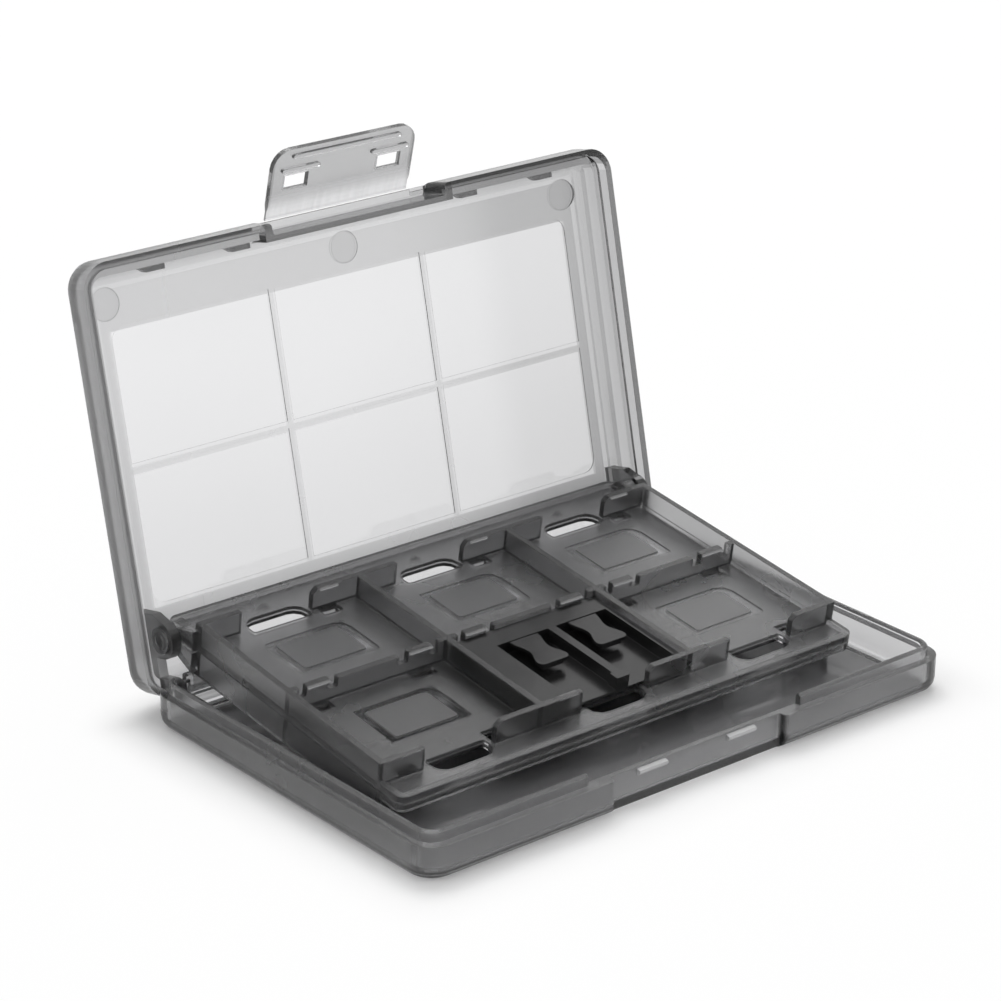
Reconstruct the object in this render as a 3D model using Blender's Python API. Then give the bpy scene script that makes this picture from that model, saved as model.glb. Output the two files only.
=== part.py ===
"""Game card case in smoky moulded plastic: base, hinged lid with a latch flap, and a double-sided
tray leaf that pivots on the lid and holds the cards.

Every size is in millimetres. All pieces are modelled where they lie in the shut case, with X along the
long side, Y towards the hinge side and Z up from the face that the case rests on. Empties on the joint
axes then swing them to the open pose.
"""
import math

import bpy
import bmesh
from mathutils import Matrix, Vector

MM = 0.001
OVERRUN = 2.0
ARC_STEPS = 5
CASE_CORNER_STEPS = 8
CIRCLE_STEPS = 24
EDGE_STEPS = 2

# The shut case
CASE_WIDTH = 117.7
CASE_DEPTH = 76.5
CASE_CORNER_R = 5.0
LEAST_CORNER_R = 0.8
BASE_RIM_Z = 6.43
LID_TOP_Z = 14.33
PLATE_T = 1.1
BASE_FLOOR_T = 1.0
WALL_T = 2.8

# The joint between base and lid
HINGE_INSET = 1.45
HINGE_Z = 5.4
LID_OPEN_DEG = 102.7
TRAY_TILT_DEG = 7.65
FLAP_OPEN_DEG = 64.0
RUNNING_GAP = 0.05
MOULD_GAP = 0.3

# Base shell
BASE_FILLET_R = 2.4
BASE_LIP_INSET = 1.6
BASE_LIP_H = 2.0
BASE_LIP_CREST = 0.4
BASE_FLOOR_FILLET = 0.8
RECESS_HALF_W = 19.3
RECESS_FLARE_R = 0.9
RECESS_INNER_R = 0.6
RECESS_DEPTH = 1.85
LIP_BREAK_MARGIN = 4.7
CATCH_SIDE_GAP = 6.1
CATCH_W = 6.3
CATCH_REACH = 0.85
CATCH_TOP_DROP = 0.13
CATCH_NOSE_DROP = 0.4
CATCH_H = 1.25
CATCH_ROOT = 0.5
BACK_LIP_TOP_Z = 7.4
BACK_LIP_LUG_GAP = 0.4
LUG_T = 1.3
TRUNNION_R = 1.05

# Lid shell
LID_SKIRT_T = 1.3
LID_FILLET_R = 3.2
LID_COVE_R = 3.4
LID_COVE_LAND = 0.6
LID_COVE_STEPS = 4
WINDOW_ROWS = 2
WINDOW_FRONT_MARGIN = 12.4
WINDOW_BACK_MARGIN = 14.9
WINDOW_CORNER_R = 2.6
WINDOW_BAR_W = 1.3
WINDOW_SINK = 0.2
LID_RECESS_DEPTH = 2.25
LID_RECESS_WALL_T = 1.0
LID_RECESS_SHOULDER = 1.6
SHELF_MARGIN = 0.6
SHELF_T = 0.8
SHELF_DROP = 0.6
TAB_CENTRE_SHARES = (-0.741, -0.435, 0.435, 0.741)
TAB_W = 6.0
TAB_REACH = 1.1
TAB_H = 1.5
TAB_DROP = 2.3
TAB_RAMP = 2.2
DISC_SIDE = 7.55
DISC_R = 2.9
DISC_SINK = 0.12
DISC_FRONT = 8.2

# The arms inside the lid: one ear for the tray and one knuckle for the base on each side
BUSH_WALL_GAP = 0.4
ARM_T = 1.8
ARM_ROOT = 0.4
ARM_BRIDGE_DROP = 4.6
EAR_R = 3.4
EAR_FRONT_FLAT = 4.45
KNUCKLE_R = 2.0
LUG_SWING_R = 2.6

# Latch flap
CREASE_INSET = 0.25
CREASE_DROP = 0.43
FLAP_SIDE_GAP = 3.5
FLAP_L = 13.4
FLAP_T = 1.0
FLAP_CORNER_R = 3.5
FLAP_WEB_T = 0.36
FLAP_WEB_L = 1.5
FLAP_SWELL_L = 1.3
FLAP_BEAD_R = 0.25
FLAP_WINDOW_FROM = 5.4
FLAP_WINDOW_L = 2.9
FLAP_WINDOW_INSET = 5.5
FLAP_WINDOW_W = 5.2
FLAP_HOOK_FROM = 9.2
FLAP_HOOK_INSET = 5.9
FLAP_HOOK_W = 8.4
FLAP_LONG_RIB_FROM = 11.7
FLAP_LONG_RIB_INSET = 3.8
FLAP_RIB_H = 0.65
FLAP_RIB_W = 0.8

# Tray leaf: places run from its back wall towards the front, or down from its wall tops
PIVOT_INSET = 10.4
PIVOT_BEHIND_WALL = 6.0
POCKET_COLUMNS = 3
TRAY_ARM_GAP = 1.75
TRAY_SIDE_MARGIN = 0.45
TRAY_FLOOR_GAP = 0.28
TRAY_LID_GAP = 1.95
TRAY_FRONT_GAP = 0.9
TRAY_WALL_T = 1.2
TRAY_SKIN_T = 0.65
TRAY_BACK_STRIP = 10.0
TRAY_FRONT_STRIP = 7.0
TRAY_EDGE_R = 2.0
TRAY_RIM_H = 0.7
TRAY_RIM_W = 1.3
BACK_STUB_LEFT = 8.4
BACK_STUB_RIGHT = 10.2
FRONT_STUB_LEFT = 8.8
FRONT_STUB_RIGHT = 9.9
STUB_CHAMFER = 1.0
ROW_POST_W = 2.0
ROW_NOTCH_DROP = 2.0
ROW_LOW_DROP = 0.35
LEFT_NOTCH_W = 1.6
LEFT_HOOK_W = 4.7
LEFT_LOW_NOTCH_W = 1.9
RIGHT_NOTCH_W = 1.8
RIGHT_HOOK_W = 5.0
RIGHT_LOW_NOTCH_W = 2.0
BACK_NUB_INSET = 5.0
FRONT_NUB_INSET = 4.4
NUB_L = 4.0
NUB_REACH = 0.55
NUB_DROP = 0.1
NUB_H = 0.6
CORE_HOLE_L = 2.3
STUB_HOLE_W = 3.0
THUMB_STUB_GAP = 0.5
THUMB_CORNER_R = 2.6
THUMB_EDGE_R = 0.5
THUMB_INSIDE = 1.0
THUMB_OUTSIDE = 3.3
ICON_W = 17.0
ICON_L = 11.0
ICON_BACK = 5.1
ICON_LEFT = 7.4
ICON_BIG_R = 2.6
ICON_SMALL_R = 0.5
ICON_SINK = 0.25
LABEL_LEFT = 1.6
LABEL_RIGHT = 2.1
LABEL_END = 1.1

# Pivot between tray and lid
BOSS_R = 2.9
BOSS_SIDE_GAP = 0.35
BUSH_R = 1.7
BUSH_BORE_R = 1.1
BUSH_END = 0.65
BUSH_INSIDE = 1.2
COLLAR_R = 2.4
COLLAR_T = 0.3
COLLAR_GAP = 0.15

# Memory-card holder
HOLDER_GAP = 0.3
HOLDER_TOP_DROP = 1.0
HOLDER_FLOOR_T = 0.5
HOLDER_LEFT_BLOCK = 6.0
HOLDER_RIGHT_WALL = 1.3
HOLDER_RAIL_W = 1.7
BAY_BACK = 4.4
RAIL_BLOCK_W = 2.8
RAIL_BLOCK_L = 2.0
TONGUE_T = 0.6
TONGUE_L = 8.8
TONGUE_ROOT_HALF_W = 3.1
TONGUE_WAIST_HALF_W = 2.1
TONGUE_WAIST_AT = 4.2
TONGUE_TIP_HALF_W = 3.3
TONGUE_TIP_R = 1.0
TONGUE_LIP_H = 1.0
TONGUE_LIP_L = 0.7
TONGUE_LIP_BACK = 0.6
TONGUE_STEPS = 5

SMOKE = (0.34, 0.34, 0.35)
PALE_SMOKE = (0.55, 0.55, 0.56)
BLACK = (0.02, 0.02, 0.022)
SATIN_ROUGHNESS = 0.28
GLOSS_ROUGHNESS = 0.15

HALF_W = CASE_WIDTH / 2
HALF_D = CASE_DEPTH / 2
BASE_LIP_Z = BASE_RIM_Z + BASE_LIP_H
LID_RIM_Z = BASE_RIM_Z + MOULD_GAP
LID_SHOULDER_Z = BASE_LIP_Z + MOULD_GAP
LID_INNER_Z = LID_TOP_Z - PLATE_T
LID_COVE_DROP = LID_INNER_Z - LID_SHOULDER_Z - LID_COVE_LAND
BUSH_OUTER_X = HALF_W - WALL_T - BUSH_WALL_GAP
ARM_OUTER_X = BUSH_OUTER_X - BUSH_END
ARM_INNER_X = ARM_OUTER_X - ARM_T
LUG_OUTER_X = ARM_INNER_X - MOULD_GAP
BACK_LIP_HALF_W = LUG_OUTER_X - LUG_T - BACK_LIP_LUG_GAP
FLAP_HALF_W = RECESS_HALF_W - FLAP_SIDE_GAP
SHELF_HALF_W = FLAP_HALF_W + SHELF_MARGIN
TRAY_HALF_W = ARM_INNER_X - TRAY_ARM_GAP
TRAY_HALF_T = (LID_INNER_Z - TRAY_LID_GAP - BASE_FLOOR_T - TRAY_FLOOR_GAP) / 2
TRAY_POCKET_DEPTH = TRAY_HALF_T - TRAY_SKIN_T - MOULD_GAP / 2
POCKET_PITCH_X = 2 * (TRAY_HALF_W - TRAY_SIDE_MARGIN) / POCKET_COLUMNS
COLUMN_CENTRES = (-POCKET_PITCH_X, 0.0, POCKET_PITCH_X)
HALF_PITCH = POCKET_PITCH_X / 2
HINGE = Vector((0, HALF_D - HINGE_INSET, HINGE_Z))
PIVOT = Vector((0, HALF_D - PIVOT_INSET, BASE_FLOOR_T + TRAY_FLOOR_GAP + TRAY_HALF_T))
FRONT_LINE = PIVOT.y - PIVOT_BEHIND_WALL + HALF_D - WALL_T - TRAY_FRONT_GAP - TRAY_FRONT_STRIP
ROW_WALL_FRONT = (FRONT_LINE + TRAY_WALL_T) / 2
LEFT_HOOK_FROM = HALF_PITCH - ROW_POST_W - LEFT_NOTCH_W
LEFT_HOOK_TO = LEFT_HOOK_FROM - LEFT_HOOK_W
RIGHT_HOOK_TO = HALF_PITCH - ROW_POST_W - RIGHT_NOTCH_W
RIGHT_HOOK_FROM = RIGHT_HOOK_TO - RIGHT_HOOK_W
THUMB_HALF_W = HALF_PITCH - BACK_STUB_RIGHT - THUMB_STUB_GAP
HOLDER_HALF_W = HALF_PITCH - TRAY_WALL_T / 2 - HOLDER_GAP
BAY_W = HOLDER_HALF_W - (HOLDER_LEFT_BLOCK + HOLDER_RIGHT_WALL + HOLDER_RAIL_W) / 2
BAY_RIGHT_X = HOLDER_HALF_W - HOLDER_RIGHT_WALL - BAY_W / 2
BAY_CENTRES = (BAY_RIGHT_X - BAY_W - HOLDER_RAIL_W, BAY_RIGHT_X)
CREASE = Vector((0, -HALF_D + CREASE_INSET, LID_TOP_Z - CREASE_DROP))


for old in list(bpy.data.objects):
    bpy.data.objects.remove(old)


# Outlines and solids

def arc(cx, cy, r, start, end, steps=ARC_STEPS):
    """Points on an arc, from start to end degrees."""
    points = []
    for i in range(steps + 1):
        angle = math.radians(start + (end - start) * i / steps)
        points.append((cx + r * math.cos(angle), cy + r * math.sin(angle)))
    return points


def rounded(x0, x1, y0, y1, radii, steps=ARC_STEPS):
    """Rectangle with a radius for each corner, from the far right corner anticlockwise."""
    corners = ((x1, y1, -1, -1, 0), (x0, y1, 1, -1, 90), (x0, y0, 1, 1, 180), (x1, y0, -1, 1, 270))
    points = []
    for (x, y, sx, sy, start), r in zip(corners, radii):
        if r > 0:
            points += arc(x + sx * r, y + sy * r, r, start, start + 90, steps)
        else:
            points.append((x, y))
    return points


def rectangle(x0, x1, y0, y1):
    return rounded(x0, x1, y0, y1, (0, 0, 0, 0))


def case_ring(inset, z):
    """The case's plan outline, drawn in by an inset, at one height."""
    r = max(CASE_CORNER_R - inset, LEAST_CORNER_R)
    x = HALF_W - inset
    y = HALF_D - inset
    outline = rounded(-x, x, -y, y, (r, r, r, r), CASE_CORNER_STEPS)
    return [Vector((px, py, z)) for px, py in outline]


def make(name, points, faces):
    """One object from points in millimetres, with its faces turned outwards."""
    mesh = bpy.data.meshes.new(name)
    mesh.from_pydata([Vector(p) * MM for p in points], [], faces)
    work = bmesh.new()
    work.from_mesh(mesh)
    bmesh.ops.recalc_face_normals(work, faces=work.faces)
    work.to_mesh(mesh)
    work.free()
    piece = bpy.data.objects.new(name, mesh)
    bpy.context.scene.collection.objects.link(piece)
    return piece


def loft(name, rings):
    """A closed solid through rings of equal counts, capped at both ends."""
    n = len(rings[0])
    points = [p for ring in rings for p in ring]
    faces = [list(reversed(range(n)))]
    for k in range(len(rings) - 1):
        for i in range(n):
            j = (i + 1) % n
            faces.append((k * n + i, k * n + j, (k + 1) * n + j, (k + 1) * n + i))
    faces.append([(len(rings) - 1) * n + i for i in range(n)])
    return make(name, points, faces)


def lift(point, axis, height):
    """A plan point set at a height along an axis."""
    a, b = point
    if axis == "X":
        return (height, a, b)
    if axis == "Y":
        return (a, height, b)
    return (a, b, height)


def prisms(name, parts):
    """One object of separate prisms, each (outline, axis, low, high)."""
    points = []
    faces = []
    for outline, axis, low, high in parts:
        start = len(points)
        n = len(outline)
        points += [lift(p, axis, low) for p in outline]
        points += [lift(p, axis, high) for p in outline]
        faces.append([start + i for i in reversed(range(n))])
        faces.append([start + n + i for i in range(n)])
        for i in range(n):
            j = (i + 1) % n
            faces.append((start + i, start + j, start + n + j, start + n + i))
    return make(name, points, faces)


def frame_prism(name, outer, inner, low, high):
    """A flat frame between two outlines of equal counts."""
    n = len(outer)
    points = []
    for outline, height in ((outer, low), (outer, high), (inner, high), (inner, low)):
        points += [lift(p, "Z", height) for p in outline]
    faces = []
    for k in range(4):
        for i in range(n):
            j = (i + 1) % n
            m = (k + 1) % 4
            faces.append((k * n + i, k * n + j, m * n + j, m * n + i))
    return make(name, points, faces)


def combine(piece, tool, operation):
    """Apply one exact Boolean and drop its tool."""
    step = piece.modifiers.new("Boolean", "BOOLEAN")
    step.operation = operation
    step.solver = "EXACT"
    step.object = tool
    view = bpy.context.evaluated_depsgraph_get()
    mesh = bpy.data.meshes.new_from_object(piece.evaluated_get(view))
    piece.modifiers.remove(step)
    piece.data = mesh
    bpy.data.objects.remove(tool)


def cut(piece, parts):
    """Cut away prisms that don't touch each other."""
    combine(piece, prisms("cutter", parts), "DIFFERENCE")


def fuse(piece, parts):
    """Join on prisms that don't touch each other."""
    combine(piece, prisms("addition", parts), "UNION")


def both_sides(x0, x1):
    """A range of X and its mirror image."""
    return ((x0, x1), (-x1, -x0))


def disc(x, y, r):
    """A full circle without a doubled point."""
    return arc(x, y, r, 0, 360, CIRCLE_STEPS)[:-1]


def finish(piece, colour, roughness, parent=None, origin=Vector((0, 0, 0))):
    """Give a piece its material, its origin on its joint and its parent."""
    piece.data.name = piece.name
    piece.data.transform(Matrix.Translation(-origin * MM))
    piece.data.shade_smooth()
    piece.data.set_sharp_from_angle(angle=math.radians(30))
    material = bpy.data.materials.new(piece.name)
    material.use_nodes = True
    shader = material.node_tree.nodes["Principled BSDF"]
    shader.inputs["Base Color"].default_value = (*colour, 1.0)
    shader.inputs["Roughness"].default_value = roughness
    shader.inputs["Metallic"].default_value = 0.0
    piece.data.materials.clear()
    piece.data.materials.append(material)
    if parent:
        piece.parent = parent
        piece.location = (origin - Vector(parent["at"])) * MM
    else:
        piece.location = origin * MM


def joint(name, at, degrees, parent=None):
    """An empty on a joint's axis, turned from the shut case to the open one."""
    empty = bpy.data.objects.new(name, None)
    empty["at"] = tuple(at)
    bpy.context.scene.collection.objects.link(empty)
    start = Vector((0, 0, 0))
    if parent:
        empty.parent = parent
        start = Vector(parent["at"])
    empty.location = (at - start) * MM
    empty.rotation_euler = (math.radians(degrees), 0, 0)
    return empty


# Base shell: an open box with a rounded underside, a raised inner lip and a finger recess at the front

def recess_outline(wall_y):
    """The finger recess in plan: a straight wall between two flared ends."""
    front = -HALF_D
    half = RECESS_HALF_W
    right = [(half + RECESS_FLARE_R, front - OVERRUN)]
    right += arc(half + RECESS_FLARE_R, front + RECESS_FLARE_R, RECESS_FLARE_R, 270, 180)
    right += arc(half - RECESS_INNER_R, wall_y - RECESS_INNER_R, RECESS_INNER_R, 0, 90)
    return right + [(-x, y) for x, y in reversed(right)]


def base_shell():
    rings = []
    for inset, z in arc(BASE_FILLET_R, BASE_FILLET_R, BASE_FILLET_R, 270, 180, 4):
        rings.append(case_ring(inset, z))
    rings.append(case_ring(0, BASE_RIM_Z))
    rings.append(case_ring(BASE_LIP_INSET, BASE_RIM_Z))
    rings.append(case_ring(BASE_LIP_INSET, BASE_LIP_Z - BASE_LIP_CREST))
    rings.append(case_ring(BASE_LIP_INSET + BASE_LIP_CREST, BASE_LIP_Z))
    rings.append(case_ring(WALL_T - BASE_LIP_CREST, BASE_LIP_Z))
    rings.append(case_ring(WALL_T, BASE_LIP_Z - BASE_LIP_CREST))
    rings.append(case_ring(WALL_T, BASE_FLOOR_T + BASE_FLOOR_FILLET))
    rings.append(case_ring(WALL_T + BASE_FLOOR_FILLET, BASE_FLOOR_T))
    base = loft("base_shell", rings)

    # The lip stops on each side of the finger recess
    front = -HALF_D
    outside = HALF_D + OVERRUN
    above = BASE_LIP_Z + OVERRUN
    lip_end = RECESS_HALF_W + LIP_BREAK_MARGIN
    lip_gap = rectangle(-lip_end, lip_end, -outside, front + WALL_T + OVERRUN)
    wall = front + RECESS_DEPTH
    cut(base, [(lip_gap, "Z", BASE_RIM_Z, above)])
    cut(base, [(recess_outline(wall), "Z", -OVERRUN, above)])

    # Two catches hang from the recess wall's rim
    top = BASE_RIM_Z - CATCH_TOP_DROP
    nose = wall - CATCH_REACH
    catch = [(wall + CATCH_ROOT, top), (nose, top - CATCH_NOSE_DROP), (nose, top - CATCH_H + CATCH_NOSE_DROP),
             (nose + CATCH_NOSE_DROP, top - CATCH_H), (wall + CATCH_ROOT, top - CATCH_H)]
    catch_end = RECESS_HALF_W - CATCH_SIDE_GAP
    fuse(base, [(catch, "X", x0, x1) for x0, x1 in both_sides(catch_end - CATCH_W, catch_end)])

    # The back wall is stepped down to a ledge that the open lid leans on
    lean = math.radians(LID_OPEN_DEG - 90)
    skin = HINGE_INSET + MOULD_GAP

    def ledge_z(y):
        return HINGE.z - (skin + (y - HINGE.y) * math.sin(lean)) / math.cos(lean)

    lip_back = HALF_D - BASE_LIP_INSET
    ledge = [(lip_back, ledge_z(lip_back)), (outside, ledge_z(outside)), (outside, above), (lip_back, above)]
    cut(base, [(ledge, "X", -HALF_W - OVERRUN, HALF_W + OVERRUN)])
    low_lip = rectangle(-BACK_LIP_HALF_W, BACK_LIP_HALF_W, HALF_D - WALL_T - OVERRUN, outside)
    cut(base, [(low_lip, "Z", BACK_LIP_TOP_Z, above)])

    # Room for each knuckle, and beside it a lug with the trunnion that the knuckle turns on
    room = KNUCKLE_R + MOULD_GAP
    notch = rectangle(HINGE.y - room, outside, HINGE.z - room, above)
    cut(base, [(notch, "X", x0, x1) for x0, x1 in both_sides(LUG_OUTER_X, ARM_OUTER_X + MOULD_GAP)])
    lug = [(HINGE.y - HINGE_INSET, BASE_FLOOR_T / 2), (HINGE.y + HINGE_INSET, BASE_FILLET_R)]
    lug += arc(HINGE.y, HINGE.z, HINGE_INSET, 0, 180, 8)
    fuse(base, [(lug, "X", x0, x1) for x0, x1 in both_sides(LUG_OUTER_X - LUG_T, LUG_OUTER_X)])
    trunnion = disc(HINGE.y, HINGE.z, TRUNNION_R)
    trunnion_x = (LUG_OUTER_X - LUG_T / 2, ARM_OUTER_X + MOULD_GAP / 2)
    fuse(base, [(trunnion, "X", x0, x1) for x0, x1 in both_sides(*trunnion_x)])
    return base


# Lid shell: a plate with six polished panes, a rebated skirt and arms for both joints

def lid_panes():
    """The six panes, with round corners only where a pane meets a corner of the window."""
    x_left = -HALF_PITCH * POCKET_COLUMNS
    y_front = -HALF_D + WINDOW_FRONT_MARGIN
    pitch_y = (CASE_DEPTH - WINDOW_FRONT_MARGIN - WINDOW_BACK_MARGIN) / WINDOW_ROWS
    half_bar = WINDOW_BAR_W / 2
    panes = []
    for column in range(POCKET_COLUMNS):
        for row in range(WINDOW_ROWS):
            left = column == 0
            right = column == POCKET_COLUMNS - 1
            front = row == 0
            back = row == WINDOW_ROWS - 1
            x0 = x_left + POCKET_PITCH_X * column + half_bar * (not left)
            x1 = x_left + POCKET_PITCH_X * (column + 1) - half_bar * (not right)
            y0 = y_front + pitch_y * row + half_bar * (not front)
            y1 = y_front + pitch_y * (row + 1) - half_bar * (not back)
            corners = (right and back, left and back, left and front, right and front)
            outline = rounded(x0, x1, y0, y1, [WINDOW_CORNER_R * c for c in corners])
            panes.append((outline, "Z", LID_INNER_Z - OVERRUN, LID_INNER_Z + WINDOW_SINK))
    return panes


def arm_outline():
    """The lid's arm in side view, from the plate down round the ear and the knuckle."""
    root = LID_INNER_Z + ARM_ROOT
    bridge = LID_INNER_Z - ARM_BRIDGE_DROP
    back = HALF_D - LID_SKIRT_T
    ear_front = PIVOT.y - EAR_FRONT_FLAT
    outline = [(ear_front, root), (ear_front, PIVOT.z + EAR_R / 2)]
    outline += arc(PIVOT.y, PIVOT.z, EAR_R, 190, 360, 12)
    outline += [(PIVOT.y + EAR_R, bridge), (HINGE.y - KNUCKLE_R, bridge)]
    outline += arc(HINGE.y, HINGE.z, KNUCKLE_R, 180, 375, 14)
    outline += [(back, LID_SHOULDER_Z), (back, root - LID_FILLET_R), (back - HINGE_INSET, root)]
    return outline


def lid_shell():
    rings = []
    for step in range(LID_COVE_STEPS + 1):
        angle = math.radians(90 * step / LID_COVE_STEPS)
        inset = WALL_T + LID_COVE_R * (1 - math.sin(angle))
        rings.append(case_ring(inset, LID_INNER_Z - LID_COVE_DROP * (1 - math.cos(angle))))
    rings.append(case_ring(WALL_T, LID_SHOULDER_Z))
    rings.append(case_ring(LID_SKIRT_T, LID_SHOULDER_Z))
    rings.append(case_ring(LID_SKIRT_T, LID_RIM_Z))
    rings.append(case_ring(0, LID_RIM_Z))
    for inset, z in arc(LID_FILLET_R, LID_TOP_Z - LID_FILLET_R, LID_FILLET_R, 180, 90):
        rings.append(case_ring(inset, z))
    lid = loft("lid_shell", rings)
    cut(lid, lid_panes())
    front = -HALF_D
    disc_x = HALF_W - DISC_SIDE
    marks = [disc(x, front + DISC_FRONT, DISC_R) for x in (-disc_x, 0, disc_x)]
    cut(lid, [(mark, "Z", LID_INNER_Z - OVERRUN, LID_INNER_Z + DISC_SINK) for mark in marks])

    # The front wall steps back behind the latch flap, under a shelf that carries the flap
    wall = front + LID_RECESS_DEPTH
    shoulder = RECESS_HALF_W + LID_RECESS_SHOULDER
    step_back = rectangle(-shoulder, shoulder, front + LID_SKIRT_T / 2, wall + LID_RECESS_WALL_T)
    fuse(lid, [(step_back, "Z", LID_RIM_Z, LID_INNER_Z + ARM_ROOT)])
    shelf_z = CREASE.z - SHELF_DROP
    cut(lid, [(recess_outline(wall), "Z", BASE_RIM_Z - OVERRUN, shelf_z)])
    shelf = rectangle(-SHELF_HALF_W, SHELF_HALF_W, CREASE.y + FLAP_BEAD_R + MOULD_GAP, front + LID_FILLET_R)
    fuse(lid, [(shelf, "Z", shelf_z, shelf_z + SHELF_T)])

    # Four ramped tabs inside the front wall
    tabs = []
    tip = front + WALL_T + TAB_REACH
    root = front + WALL_T - ARM_ROOT
    top = LID_INNER_Z - TAB_DROP
    for share in TAB_CENTRE_SHARES:
        x0 = share * HALF_W - TAB_W / 2
        x1 = share * HALF_W + TAB_W / 2
        tabs.append(([(x0, root), (x1, root), (x1, tip), (x0 + TAB_RAMP, tip)], "Z", top - TAB_H, top))
    fuse(lid, tabs)

    # The back wall clears the base's lugs, then each arm brings its ear and its knuckle
    clear = disc(HINGE.y, HINGE.z, LUG_SWING_R)
    clear_x = (LUG_OUTER_X - LUG_T - MOULD_GAP, ARM_OUTER_X + MOULD_GAP)
    cut(lid, [(clear, "X", x0, x1) for x0, x1 in both_sides(*clear_x)])
    fuse(lid, [(arm_outline(), "X", x0, x1) for x0, x1 in both_sides(ARM_INNER_X, ARM_OUTER_X)])
    bore_x = (ARM_INNER_X - MOULD_GAP, ARM_OUTER_X + MOULD_GAP)
    knuckle_bore = disc(HINGE.y, HINGE.z, TRUNNION_R + RUNNING_GAP)
    ear_bore = disc(PIVOT.y, PIVOT.z, BUSH_R + RUNNING_GAP)
    cut(lid, [(bore, "X", x0, x1) for bore in (knuckle_bore, ear_bore) for x0, x1 in both_sides(*bore_x)])
    return lid


# Latch flap: a plate with two windows and three ribs, hung from the lid by a thin web

def latch_flap():
    y = CREASE.y
    z = CREASE.z
    thin = FLAP_WEB_T / 2
    thick = FLAP_T / 2
    web_end = z - FLAP_WEB_L
    plate_top = web_end - FLAP_SWELL_L
    r = FLAP_CORNER_R
    plate = rounded(-FLAP_HALF_W, FLAP_HALF_W, z - FLAP_L, plate_top, (0, 0, r, r))
    flap = prisms("latch_flap", [(plate, "Y", y - thick, y + thick)])
    web = arc(y, z, FLAP_BEAD_R, -40, 220, 10)
    web += [(y - thin, web_end), (y - thick, plate_top), (y - thick, plate_top - thick),
            (y + thick, plate_top - thick), (y + thick, plate_top), (y + thin, web_end)]
    fuse(flap, [(web, "X", -FLAP_HALF_W, FLAP_HALF_W)])

    # Two windows, each with a hook rib behind it, and one long rib near the free edge
    window_top = z - FLAP_WINDOW_FROM
    windows = []
    window_x = FLAP_HALF_W - FLAP_WINDOW_INSET
    for x0, x1 in both_sides(window_x - FLAP_WINDOW_W / 2, window_x + FLAP_WINDOW_W / 2):
        outline = rectangle(x0, x1, window_top - FLAP_WINDOW_L, window_top)
        windows.append((outline, "Y", y - FLAP_T, y + FLAP_T))
    cut(flap, windows)
    rib_end = FLAP_HALF_W - FLAP_LONG_RIB_INSET
    hook_x = FLAP_HALF_W - FLAP_HOOK_INSET
    spans = [(-rib_end, rib_end, z - FLAP_LONG_RIB_FROM)]
    for x0, x1 in both_sides(hook_x - FLAP_HOOK_W / 2, hook_x + FLAP_HOOK_W / 2):
        spans.append((x0, x1, z - FLAP_HOOK_FROM))
    end_r = FLAP_RIB_W / 2
    ribs = []
    for x0, x1, top in spans:
        rib = rounded(x0, x1, top - FLAP_RIB_W, top, (end_r, end_r, end_r, end_r), EDGE_STEPS)
        ribs.append((rib, "Y", y, y + thick + FLAP_RIB_H))
    fuse(flap, ribs)
    return flap


# Tray leaf: two moulded halves back to back, six pockets on each side

def row_y(v):
    """Y of a line that lies a distance in front of the tray's back wall."""
    return PIVOT.y - PIVOT_BEHIND_WALL - v


def depth_z(w):
    """Z of a level that lies a distance below the upper half's wall tops."""
    return PIVOT.z + TRAY_HALF_T - w


def skyline(start, spans, top, foot):
    """A wall in front view: spans of (end, drop from the top), joined by upright steps."""
    outline = [(start, foot)]
    x = start
    for end, drop in spans:
        outline += [(x, top - drop), (end, top - drop)]
        x = end
    outline.append((x, foot))
    return outline


def gapped_wall(v, stub_left, stub_right):
    """A pocket wall behind the line v, with a thumb gap in each column and a chamfered stub right of it."""
    bottom = depth_z(TRAY_POCKET_DEPTH + TRAY_SKIN_T / 2)
    top = depth_z(0)
    walls = []
    start = -TRAY_HALF_W
    slope = 0
    for end in [centre - HALF_PITCH + stub_left for centre in COLUMN_CENTRES] + [TRAY_HALF_W]:
        outline = [(start, bottom), (start, top - slope), (start + slope, top), (end, top), (end, bottom)]
        if not slope:
            outline.remove((start, top))
        walls.append((outline, "Y", row_y(v), row_y(v - TRAY_WALL_T)))
        start = end + POCKET_PITCH_X - stub_left - stub_right
        slope = STUB_CHAMFER
    return walls


def row_wall():
    """The wall between the two rows: in each column a post, a hook, a low wall, a hook and a post."""
    spans = []
    half = HALF_PITCH
    for centre in COLUMN_CENTRES:
        spans += [(centre - half + ROW_POST_W, 0), (centre - LEFT_HOOK_FROM, ROW_NOTCH_DROP),
                  (centre - LEFT_HOOK_TO, 0), (centre - LEFT_HOOK_TO + LEFT_LOW_NOTCH_W, ROW_NOTCH_DROP),
                  (centre + RIGHT_HOOK_FROM - RIGHT_LOW_NOTCH_W, ROW_LOW_DROP),
                  (centre + RIGHT_HOOK_FROM, ROW_NOTCH_DROP), (centre + RIGHT_HOOK_TO, 0),
                  (centre + half - ROW_POST_W, ROW_NOTCH_DROP), (centre + half, 0)]
    bottom = depth_z(TRAY_POCKET_DEPTH + TRAY_SKIN_T / 2)
    outline = skyline(-half * POCKET_COLUMNS, spans, depth_z(0), bottom)
    return (outline, "Y", row_y(ROW_WALL_FRONT), row_y(ROW_WALL_FRONT - TRAY_WALL_T))


def nub(x0, x1, v, reach):
    """A snap nub at a wall's top edge, as a wedge that reaches over the pocket."""
    root = row_y(v - math.copysign(TRAY_WALL_T / 3, reach))
    face = row_y(v)
    high = depth_z(NUB_DROP)
    outline = [(root, high), (face, high), (row_y(v + reach), high - NUB_H / 2), (face, high - NUB_H),
               (root, high - NUB_H)]
    return (outline, "X", x0, x1)


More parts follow.
